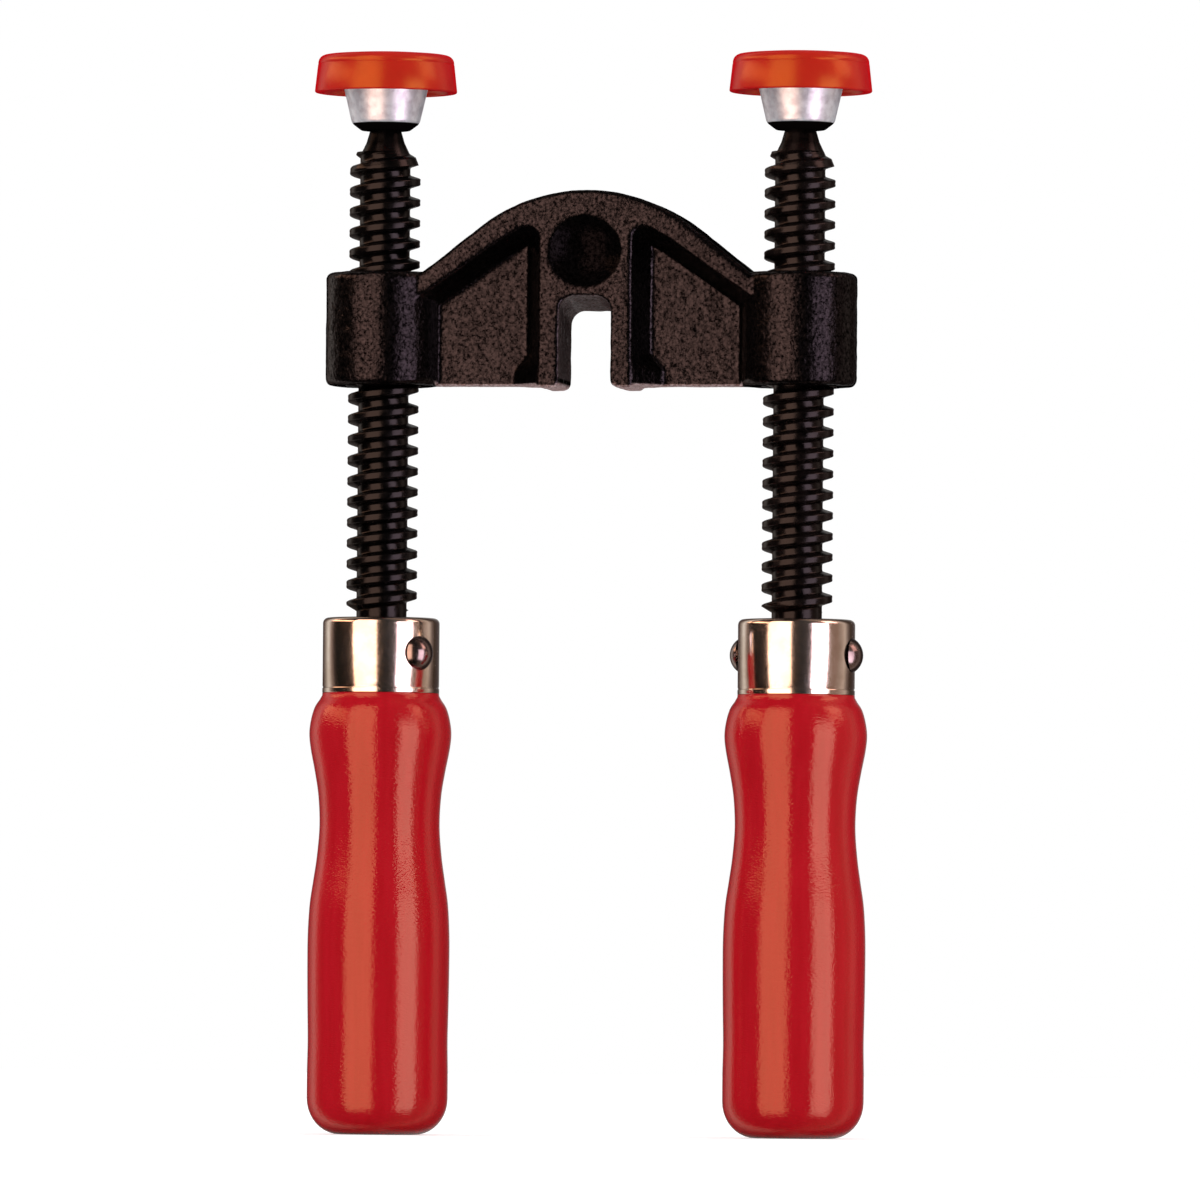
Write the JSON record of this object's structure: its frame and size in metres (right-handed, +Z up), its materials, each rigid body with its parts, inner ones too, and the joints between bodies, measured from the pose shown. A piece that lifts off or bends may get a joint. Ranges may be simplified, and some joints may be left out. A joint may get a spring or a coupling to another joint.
{
  "type": "edge clamp",
  "caption": "Edge clamp with an arched cast bridge slotted for a bar, screw spindles with wooden handles in its end bosses, and swivelling capped pressure pads.",
  "frame": {"origin": "on the floor under the handle ends, midway between the two spindle axes", "axes": "+Z up along the spindles, the slot's front face looks along -Y, +X to the right"},
  "size_m": [0.1086, 0.0276, 0.2088],
  "materials": {
    "casting": "dark paint over a sand-cast skin",
    "screw_steel": "blackened and oiled",
    "spring_steel": "bright wire",
    "zinc_steel": "zinc plated",
    "cap_plastic": "satin moulded",
    "handle_wood": "red gloss lacquer",
    "nickel_plate": "bright nickel plate",
    "rivet_steel": "bright, peened"
  },
  "bodies": {
    "bridge": {"bridge": "casting"},
    "left_ring": {"left_snap_ring": "spring_steel"},
    "left_screw": {"left_spindle": "screw_steel", "left_handle": "handle_wood", "left_ferrule": "nickel_plate", "left_rivet": "rivet_steel"},
    "left_pad": {"left_pressure_plate": "zinc_steel", "left_pad_cap": "cap_plastic"},
    "right_ring": {"right_snap_ring": "spring_steel"},
    "right_screw": {"right_spindle": "screw_steel", "right_handle": "handle_wood", "right_ferrule": "nickel_plate", "right_rivet": "rivet_steel"},
    "right_pad": {"right_pressure_plate": "zinc_steel", "right_pad_cap": "cap_plastic"}
  },
  "joints": [
    {"name": "left_feed", "type": "slide", "parent": "bridge", "child": "left_ring", "axis": [0, 0, 1], "range_m": [-0.025, 0.0443]},
    {"name": "left_turn", "type": "hinge", "parent": "left_ring", "child": "left_screw", "pos_m": [-0.0405, 0, 0.0928], "axis": [0, 0, 1], "range_deg": [-2251, 3988]},
    {"name": "left_pad_tilt", "type": "hinge", "parent": "left_ring", "child": "left_pad", "pos_m": [-0.0405, 0, 0.1973], "axis": [0, 1, 0], "range_deg": [-7, 7]},
    {"name": "right_feed", "type": "slide", "parent": "bridge", "child": "right_ring", "axis": [0, 0, 1], "range_m": [-0.025, 0.0443]},
    {"name": "right_turn", "type": "hinge", "parent": "right_ring", "child": "right_screw", "pos_m": [0.0405, 0, 0.0928], "axis": [0, 0, 1], "range_deg": [-2251, 3988]},
    {"name": "right_pad_tilt", "type": "hinge", "parent": "right_ring", "child": "right_pad", "pos_m": [0.0405, 0, 0.1973], "axis": [0, 1, 0], "range_deg": [-7, 7]}
  ],
  "couplings": [
    {"joint": "left_turn", "follows": "left_feed", "rad_per_m": 1570.8},
    {"joint": "right_turn", "follows": "right_feed", "rad_per_m": 1570.8}
  ]
}
